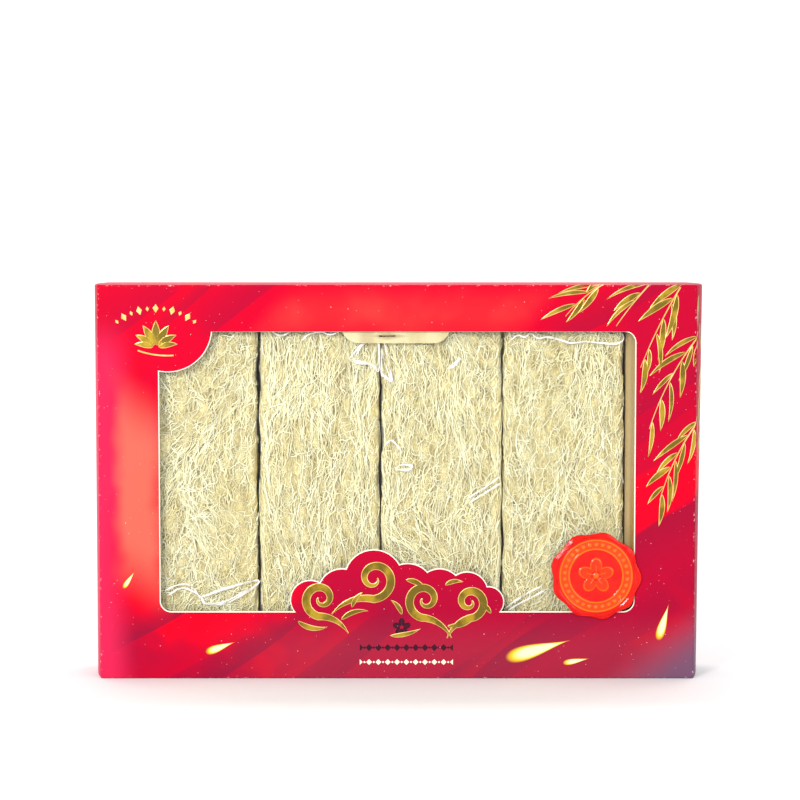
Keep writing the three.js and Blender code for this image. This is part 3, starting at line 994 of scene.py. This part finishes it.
def sheens(u, v, drift, ripple, colour):
    """Stretches of the silk, some of them painted glare, sheen and reflection of the lamps."""
    left_edge = rise(u + drift * 14, -122, -139) * rise(v, 174, 148)
    wavering = u + ripple * 16
    block = rise(wavering, -137, -127) * rise(wavering, -104, -118) * between(v + u * 0.6, -24, 54, 18)
    sheen = between(u + v * -0.8, -196, -76, 9) * between(v, 164, 181, 8)
    low_right = u * 0.75 - v
    stretches = [
        (left_edge * 0.85, ROSE),
        # Salmon block: partly the print's lit silk, partly painted glare of the lamps
        (block * 0.85, SALMON_PRINT_AND_GLARE),
        # Painted sheen: a reflection of the lamps along the head of the print
        (sheen * 0.5, ORANGE_RED_SHEEN),
        (sheen * rise(ripple, -0.1, 0.25) * 0.15, SALMON_PRINT_AND_GLARE),
        (rise(u, 106, 114) * between(v + u * -0.7, -10, 32, 1.2) * 0.8, BRIGHT_RED),
        (rise(u, 92, 112) * rise(v + u * -0.5, 38, 42) * 0.6, CRIMSON),
        (rise(low_right, 30, 84) * 0.5, DEEP_CRIMSON),
        (rise(v, 34, 12) * rise(u, -100, -40) * 0.3, HAZE),
        # Painted reflection: purple toward the lower right corner
        (rise(low_right, 66, 98), PURPLE_REFLECTION),
    ]
    for share, tint in stretches:
        colour = blend(share, colour, tint)
    return colour


def motifs(u, v, colour):
    """Sparks, running borders and a dark blossom of five petals."""
    for x, z, length, width, heading in SPARKS:
        along, aside = along_and_aside(u, v, x, z, heading)
        along = along * (2 / length)
        aside = aside * (2 / width) / reckon("MAXIMUM", along * 0.55 + 0.55, 0.06)
        square = along * along + aside * aside
        flame = blend(rise(square, 0.8, 0.25), SPARK_YELLOW, SPARK_CREAM)
        colour = blend(rise(square, 1.2, 0.65), colour, flame)
    slide = (u - BORDER_MIDDLE) * (1 / BORDER_CELL) + 0.5
    across = abs(reckon("FRACT", slide) - 0.5) * BORDER_CELL
    half = BORDER_CELL * BORDER_CELLS / 2
    stretch = between(u, BORDER_MIDDLE - half, BORDER_MIDDLE + half, 0.05)
    for height, lozenge, dot, tint in BORDERS:
        up = abs(v - height)
        shape = rise(across + up, lozenge + 0.1, lozenge - 0.1)
        spot = rise(BORDER_CELL / 2 - across + up, 1.4 * dot + 0.1, 1.4 * dot - 0.1)
        colour = blend(reckon("MAXIMUM", shape, spot) * stretch, colour, tint)
    across, up = u - BLOSSOM[0], v - BLOSSOM[1]
    reach = reckon("SQRT", across * across + up * up)
    turn = reckon("ARCTAN2", across, up) * 2.5
    petals = rise(abs(reckon("COSINE", turn)) * 2.1 + 2.3 - reach, -0.1, 0.1)
    vein = rise(abs(reach * reckon("SINE", turn)), 0.0, 0.35)
    return blend(petals * rise(reach, 0.75, 0.95) * (vein * 0.55 + 0.45), colour, INK)


def print_finish():
    finish, tree, surface = start_finish("printed_card", 0.34)
    place = noted(tree, "print_place", "Vector")
    u, v, _ = split(place)
    drift = mottle(place, (90, 90, 90), 0.0) - 0.5
    ripple = mottle(place, (26, 26, 26), 2.0) - 0.5
    colour = silk(u, v, drift, ripple)
    colour = sheens(u, v, drift, ripple, colour)
    colour = motifs(u, v, colour)

    # Rubbed folds and cut edges, whitened as wear and, along the folds, as painted highlight;
    # and the grain and specks of the card under the ink
    wear_and_sheen_share = noted(tree, "wear_and_sheen")
    rub = mottle(place, (2.2, 2.2, 2.2), 4.0, 0.7)
    fine = mottle(place, (0.8, 0.8, 0.8), 2.0)
    colour = blend(rise(rub + wear_and_sheen_share * 0.30, 0.88, 1.02) * wear_and_sheen_share, colour, WEAR_AND_SHEEN_WHITE)
    specks = rise(mottle(place, (0.8, 0.8, 0.8), 0.0), 0.84, 0.88)
    colour = blend(specks * 0.6, colour, WEAR_AND_SHEEN_WHITE)
    colour = blend(fine * 0.08, colour, CRIMSON)
    feed(surface.inputs["Base Color"], colour)
    feed(surface.inputs["Specular IOR Level"], 0.025)
    feed(surface.inputs["Roughness"], rub * 0.2 + 0.26)
    emboss(surface, fine, 0.03, 0.35)
    return finish


def board_finish():
    finish, tree, surface = start_finish("cut_board", 0.7)
    grain = mottle(place_in_mm(tree), (0.6, 0.6, 0.6), 3.0)
    feed(surface.inputs["Base Color"], blend(grain, BOARD, BOARD_PALE))
    emboss(surface, grain, 0.05, 0.6)
    return finish


make_lid([print_finish(), board_finish()])


# The window film: a flat sheet of thin clear plastic. It closes the die-cut window, and is glued by
# its margins to the back of the lid's front panel.
def window_film_finish():
    finish, tree, surface = start_finish("clear_film", 0.05)
    show_through(surface, face_gloss(tree, 1.25))
    emboss(surface, mottle(place_in_mm(tree), (60, 60, 40), 1.0), 0.6, 0.3)
    return finish


dress(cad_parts["window_film"], window_film_finish())


# The gold foil: hot-stamped shapes on the front panel, each with a pressed edge painted bright as a
# highlight round a field painted darker olive-gold as the foil's dark reflection, both under real
# metallic gloss. Sprays of long leaves hang from the upper right corner and turn on to the side.
FOIL_RISE = 0.06 * MM
FOIL_RIM = 0.27
FOIL_LAYERS = 7
FOIL_DARK_REFLECTION = (0.15, 0.10, 0.004, 1)
FOIL_GOLD = (0.40, 0.26, 0.010, 1)
FOIL_LIT_EDGE = (0.66, 0.46, 0.11, 1)
FOIL_GLINT = (0.84, 0.64, 0.26, 1)
TWIG_HALF = 0.28

# Sprays: the root of the twig, its reach, its heading and its droop in degrees, and its pairs of leaves
SPRAYS = [
    ((99, 188), 27, 214, 26, 3), ((118, 187), 46, 232, 16, 5), ((133, 187), 60, 243, 14, 6),
    ((142, 164), 52, 238, 22, 5), ((142, 124), 44, 240, 22, 5), ((153, 150), 42, 262, 10, 4),
]
CORNER_LEAVES = [(143, 181, 15, 262), (142, 160, 13, 250), (146, 168, 14, 285), (96, 189, 11, 215)]
WINDOW_EDGE = (113.0, 165.5)


def foil_finish(name, first, last, roughness):
    finish, tree, surface = start_finish(name, roughness)
    place = place_in_mm(tree)
    cloud = rise(mottle(place, (9, 9, 12), 2.0), 0.42, 0.64)
    feed(surface.inputs["Base Color"], blend(cloud, first, last))
    feed(surface.inputs["Metallic"], 0.6)
    emboss(surface, mottle(place, (0.5, 0.5, 0.5), 2.0), 0.02, 0.3)
    return finish


# Painted light: the field is painted darker and the edge brighter than the same foil would be
foil_finishes = [
    foil_finish("gold_foil", FOIL_DARK_REFLECTION, FOIL_GOLD, 0.36),
    foil_finish("gold_foil_lit_edge", FOIL_LIT_EDGE, FOIL_GLINT, 0.3),
]


def towards(angle):
    return np.array([math.cos(angle), math.sin(angle)])


def press_foil(shells, path, half_widths):
    """A strip of foil along a path on the front panel, in millimetres; strips that cross lie in layers."""
    widths = np.maximum(half_widths, 0.06) * MM
    layer = lid_front - (0.01 + 0.006 * (len(shells.points) % FOIL_LAYERS)) * MM
    rim = np.minimum(FOIL_RIM * MM, widths * 0.6)
    points, rims, field = strip_shell(path * MM, widths, layer, FOIL_RISE, rim)
    shells.add(points, (rims, 1), (field, 0))


def press_line(shells, path, half_widths):
    widths = half_widths * np.full(len(path), MM)
    points, rims, field = strip_shell(path * MM, widths, lid_front - 0.01 * MM, FOIL_RISE, 0.3 * widths)
    shells.add(points, (rims, 1), (field, 1))


def leaf_path(root, length, heading, bend, steps=18):
    angles = heading + bend * (np.linspace(0, 1, steps) - 0.3)
    moves = np.stack([np.cos(angles), np.sin(angles)], axis=1) * (length / (steps - 1))
    return np.array(root) + np.cumsum(np.concatenate([[[0, 0]], moves[:-1]]), axis=0)


def press_leaf(shells, root, length, width, heading, bend):
    path = leaf_path(root, length, heading, bend)
    share = np.linspace(0, 1, len(path))
    press_foil(shells, path, width / 2 * np.sin(math.pi * share ** 0.75) ** 0.85)


def finish_foil(shells, name):
    piece = shells.build(name)
    dress(piece, *foil_finishes)
    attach(piece, "root")


def wrap_round_folds(points):
    """Foil past the right or the upper fold lies back along that wall, which bows outwards."""
    x, y, z = points.T
    rise_out = lid_front - y
    past = np.maximum(x - lid_right, 0)
    over = np.maximum(z - lid_top, 0)
    across = np.sin(math.pi * np.clip(past / lid_depth, 0, 1))
    bowed = (BOW_RIGHT_LOW + (BOW_RIGHT_HIGH - BOW_RIGHT_LOW) * z / lid_top) * across
    new_x = np.where(past > 0, lid_right + bowed + rise_out, x)
    new_z = np.where(over > 0, lid_top + rise_out, z)
    new_y = np.where((past > 0) | (over > 0), lid_front + past + over, y)
    return np.stack([new_x, new_y, new_z], axis=1)


leaf_rng = np.random.default_rng(12)
leaves = Shells()
for root, reach, heading, droop, pairs in SPRAYS:
    twig = leaf_path(root, reach, math.radians(heading), math.radians(droop), 24)
    twig = twig[(twig[:, 0] > WINDOW_EDGE[0]) | (twig[:, 1] > WINDOW_EDGE[1])]
    press_line(leaves, twig, TWIG_HALF * np.linspace(1.25, 0.6, len(twig)))
    for pair in range(pairs):
        for side in (-1, 1):
            spot = (pair + 0.55 + 0.25 * side) / (pairs + 0.2)
            at = twig[int(spot * (len(twig) - 1))]
            lean = math.radians(heading + droop * (spot - 0.3)) + side * leaf_rng.uniform(0.25, 0.6)
            start = at + 0.9 * towards(lean)
            size = leaf_rng.uniform(13, 21) * (1.1 - 0.3 * spot)
            tip = start + size * towards(lean)
            if tip[0] < WINDOW_EDGE[0] + 1 and tip[1] < WINDOW_EDGE[1] + 1:
                continue
            width = leaf_rng.uniform(2.0, 3.1)
            press_leaf(leaves, start, size, width, lean, -side * leaf_rng.uniform(0.25, 0.6))
for x, z, length, heading in CORNER_LEAVES:
    press_leaf(leaves, (x, z), length, 3.0, math.radians(heading), 0.3)
leaves.points = [wrap_round_folds(points) for points in leaves.points]
finish_foil(leaves, "foil_leaves")


# Foil clouds on the tongue: four curled scrolls with brushed tails, in step with the tongue's puffs.
# Each scroll: its middle, its size, the way it curls, the heading of its end in degrees and its tail.
SCROLLS = [
    (-36.5, 38, 8.4, 1, 262, 17), (-11.5, 47.5, 9.6, -1, 268, 22), (12.5, 37.5, 8.6, 1, 258, 18),
    (33.5, 36.5, 7.6, -1, 286, 17),
]
SCROLL_TURN = 2.6 * math.pi

# Brush strokes between them: the root, length, width, heading in degrees and bend
BRUSH_STROKES = [
    (-47.5, 27.5, 15, 2.6, -22, 1.1), (-27, 28, 14, 2.4, 28, -1.0), (-22, 34, 9, 2.2, 62, -0.8),
    (1.5, 30.5, 9, 2.2, 118, 0.9), (3.5, 47, 11, 2.6, -18, -0.9), (23, 25, 15, 2.6, 12, 0.7),
    (22, 44.5, 9, 2.2, 20, -1.0), (43.5, 31, 8, 2.2, 128, 0.8), (-4, 20.5, 15, 2.2, 8, 0.5),
]

clouds = Shells()
for x, z, size, turn, heading, tail in SCROLLS:
    share = np.linspace(0, 1, 60)
    angles = turn * (share - 1) * SCROLL_TURN + math.radians(heading)
    reach = size * (0.16 + 0.84 * share ** 1.15)
    spiral = np.stack([x + reach * np.cos(angles), z + reach * np.sin(angles)], axis=1)
    last = spiral[-1] - spiral[-2]
    ending = leaf_path(spiral[-1], tail, math.atan2(last[1], last[0]), -turn * 1.1, 26)
    path = np.concatenate([spiral, ending[1:]])
    share = np.linspace(0, 1, len(path))
    press_foil(clouds, path, 0.25 + 1.75 * np.sin(math.pi * np.clip(share * 1.02, 0, 1) ** 1.3) ** 0.8)
for x, z, length, width, heading, bend in BRUSH_STROKES:
    press_leaf(clouds, (x, z), length, width, math.radians(heading), bend)
finish_foil(clouds, "foil_clouds")


# The foil emblem on the upper left lobe: an open lotus under an arch of small diamonds.
# It is stamped with the same foil. Petals: heading in degrees, length and width.
PETALS = [
    (90, 11.5, 4.2), (62, 10.8, 3.9), (118, 10.8, 3.9), (36, 10, 3.5), (144, 10, 3.5), (14, 9, 2.8),
    (166, 9, 2.8),
]
LOTUS = (-113.5, 156.5)
ARCH_MIDDLE = (-113.5, 145.5)
ARCH_RADIUS = 29.5
ARCH_STEP = math.radians(7.6)

emblem = Shells()
for heading, length, width in PETALS:
    lean = math.radians(heading)
    bend = 0.5 * min(max((heading - 90) / 60, -1), 1)
    press_leaf(emblem, LOTUS + 1.4 * towards(lean), length, width, lean, bend)
base = leaf_path((LOTUS[0] - 8.5, LOTUS[1] - 1.2), 17, math.radians(-12), math.radians(24), 20)
press_line(emblem, base, 0.35)
for step in range(-5, 6):
    outwards = towards(math.pi / 2 - step * ARCH_STEP)
    size = 2.0 if step % 2 == 0 else 1.1
    share = np.linspace(-1, 1, 7)
    diamond = ARCH_MIDDLE + ARCH_RADIUS * outwards + share[:, None] * size * outwards
    press_line(emblem, diamond, 0.08 + 0.62 * size * (1 - np.abs(share)))
finish_foil(emblem, "foil_emblem")


# The seal: a poured disc of glossy red wax with a scalloped rim, stuck over the window's lower right
# corner. It is stamped with two gilt rings, a ring of beads between them and a plum blossom, whose
# plate lies below a sloping wall.
SEAL_LOBES = 9
SEAL_SCALLOP = 0.03
SEAL_RIM = 21.2
SEAL_SLOPE = 0.40
SEAL_TURNS = 324
RING_OUTER = 16.9
RING_INNER = 12.7
SEAL_PLATE = 1.0
SEAL_BEADS = 30
BEAD_RADIUS = 1.05
EYE_EDGE = 1.9
WAX = (0.74, 0.008, 0.001, 1)
WAX_DEEP = (0.58, 0.003, 0.001, 1)
WAX_GILT = (0.66, 0.15, 0.003, 1)


def seal_height(radius, angle):
    """How high the front of the seal stands above its flat back, in millimetres, and how gilt it is."""
    lip = np.clip((radius - RING_OUTER - 0.6) / (SEAL_RIM - RING_OUTER - 0.6), 0, 1)
    wall = SEAL_SLOPE * np.clip(radius - RING_OUTER - 0.9, 0, 1.1)
    rim = wall + 0.12 * np.clip(1 - ((lip - 0.62) / 0.3) ** 2, 0, 1)
    outer = np.exp(-((radius - RING_OUTER) / 0.42) ** 2)
    inner = np.exp(-((radius - RING_INNER) / 0.38) ** 2)
    middle = (RING_OUTER + RING_INNER) / 2
    beat = (np.mod(angle * SEAL_BEADS / (2 * math.pi), 1) - 0.5) * 2 * math.pi * middle / SEAL_BEADS
    beads = np.clip(1 - ((radius - middle) / BEAD_RADIUS) ** 2 - (beat / BEAD_RADIUS) ** 2, 0, 1) ** 0.6
    turn = 2.5 * (angle - math.pi / 2)
    petal_edge = 4.6 + 4.0 * np.abs(np.cos(turn))
    petals = np.clip((petal_edge - radius) / 0.8, 0, 1) * np.clip((radius - EYE_EDGE) / 0.6, 0, 1)
    groove = np.exp(-(np.abs(np.sin(turn)) * radius / 0.5) ** 2) * np.clip(5.2 - radius, 0, 1)
    eye = np.clip(1 - (radius / 1.5) ** 2, 0, 1) ** 0.5
    rings = 0.38 * outer + 0.34 * inner + 0.26 * beads
    height = SEAL_PLATE + rim + rings + 0.30 * petals + 0.15 * groove + 0.35 * eye
    outline = np.exp(-((petal_edge - radius - 0.5) / 0.42) ** 2) * (radius > EYE_EDGE)
    band = np.clip((RING_OUTER - radius) / 0.3, 0, 1) * np.clip((radius - RING_INNER) / 0.3, 0, 1)
    shares = [1.5 * outer - 0.3, 1.5 * inner - 0.3, 0.95 * beads, 0.28 * band,
              0.15 * petals + 0.5 * groove, 0.7 * outline, 0.8 * eye]
    return height, np.clip(np.maximum.reduce(shares), 0, 1)


def wax_finish():
    finish, tree, surface = start_finish("seal_wax", 0.24)
    place = place_in_mm(tree)
    wax = blend(rise(mottle(place, (7, 7, 7), 2.0), 0.35, 0.7), WAX_DEEP, WAX)
    feed(surface.inputs["Base Color"], blend(noted(tree, "gilt"), wax, WAX_GILT))
    feed(surface.inputs["Specular IOR Level"], 0.0)
    feed(surface.inputs["Coat Weight"], 0.45)
    feed(surface.inputs["Coat Roughness"], 0.05)
    emboss(surface, mottle(place, (2.5, 2.5, 2.5), 2.0), 0.12, 0.4)
    return finish


def make_seal():
    low, high = (np.array(corner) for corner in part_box("seal"))
    centre = (low + high) / 2
    back, front = high[1], low[1]
    bend = SEAL_RIM - np.array([0.9, 0.6, 0.35, 0.15, 0.03, 0.0, 0.05, 0.3])
    radii = np.concatenate([np.linspace(0.25, SEAL_RIM - 1.2, 84), bend])
    angles = np.arange(SEAL_TURNS) / SEAL_TURNS * 2 * math.pi
    angle, radius = np.meshgrid(angles, radii, indexing="ij")
    height, gilt = seal_height(radius, angle)
    bevel = SEAL_SLOPE * np.clip(radius - SEAL_RIM + 1.9, 0, 1.2)
    edge = np.clip((SEAL_RIM - radius) / 0.7, 0, 1)
    height = (height - bevel) * np.sqrt(np.clip(1 - (1 - edge) ** 2, 0, 1)) + 0.35 * (1 - edge)
    height[:, -2:] = [0.2, 0.0]
    swell = 1 + 0.06 * np.sin(3 * angle + 0.6) * np.clip((radius - RING_OUTER) / 3, 0, 1)
    height = np.clip(height * swell, 0, (back - front) / MM - 0.005)
    share = ease((radius - RING_OUTER - 1.5) / (SEAL_RIM - 1.3 - RING_OUTER - 1.5))
    lobe = SEAL_SCALLOP * np.cos(SEAL_LOBES * angle + 0.6 * np.sin(angle + 1)) - SEAL_SCALLOP
    reach = radius * (1 + share * (lobe + 0.02 * np.cos(2 * angle + 0.8))) * MM
    x, z = centre[0] + reach * np.cos(angle), centre[2] + reach * np.sin(angle)
    middles = [[centre[0], back - seal_height(0.0, 0.0)[0] * MM, centre[2]], [centre[0], back, centre[2]]]
    points, sides, ends = capped(np.stack([x, back - height * MM, z], axis=-1), *middles)
    shells = Shells(smooth_looks=(0,))
    shells.add(points, (sides, 0), (ends, 0))
    piece = shells.build("seal_wax")
    note_on(piece, "gilt", np.concatenate([gilt.ravel(), [0.8, 0]]))
    dress(piece, wax_finish())
    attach(piece, "root")
    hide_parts("seal")


make_seal()


# The studio: a pale floor that curves up behind the set, a white surround and soft lights.
FLOOR_FRONT = -4
FLOOR_BACK = 2.0
SWEEP_ROUND = 1.0
SWEEP_TOP = 4.0
SWEEP_STEPS = 16
FLOOR_HALF = 6
FLOOR_GREY = (0.78, 0.77, 0.77, 1)

sweep = [(FLOOR_FRONT, 0), (FLOOR_BACK, 0)]
for step in range(1, SWEEP_STEPS + 1):
    angle = step / SWEEP_STEPS * math.pi / 2
    sweep.append((FLOOR_BACK + SWEEP_ROUND * math.sin(angle), SWEEP_ROUND * (1 - math.cos(angle))))
sweep.append((FLOOR_BACK + SWEEP_ROUND, SWEEP_TOP))
floor_points = [(side * FLOOR_HALF, y, z) for y, z in sweep for side in (-1, 1)]
floor_faces = np.array([(2 * k, 2 * k + 1, 2 * k + 3, 2 * k + 2) for k in range(len(sweep) - 1)])
floor = new_piece("floor", floor_points, [floor_faces])
floor_finish, _, floor_surface = start_finish("floor", 0.8)
feed(floor_surface.inputs["Base Color"], FLOOR_GREY)
feed(floor_surface.inputs["Specular IOR Level"], 0.1)
dress(floor, floor_finish)

world = bpy.data.worlds.new("studio")
world.use_nodes = True
feed(world.node_tree.nodes["Background"].inputs["Color"], (1, 1, 1, 1))
feed(world.node_tree.nodes["Background"].inputs["Strength"], 1.0)
bpy.context.scene.world = world
bpy.context.scene.view_settings.view_transform = "Standard"


def softbox(name, place, aim, size, power):
    data = bpy.data.lights.new(name, "AREA")
    data.shape = "RECTANGLE"
    data.size, data.size_y = size
    data.energy = power
    light = bpy.data.objects.new(name, data)
    light.location = place
    light.rotation_euler = (Vector(aim) - Vector(place)).to_track_quat("-Z", "Y").to_euler()
    bpy.context.scene.collection.objects.link(light)


softbox("key", (-0.58, -1.3, 0.56), (0, 0, 0.09), (0.30, 0.30), 13)
softbox("fill", (0.9, -1.5, 0.5), (0, 0, 0.09), (0.8, 0.8), 6)
softbox("backdrop", (0, 0.9, 2.4), (0, 2.6, 0.6), (3.0, 1.0), 60)
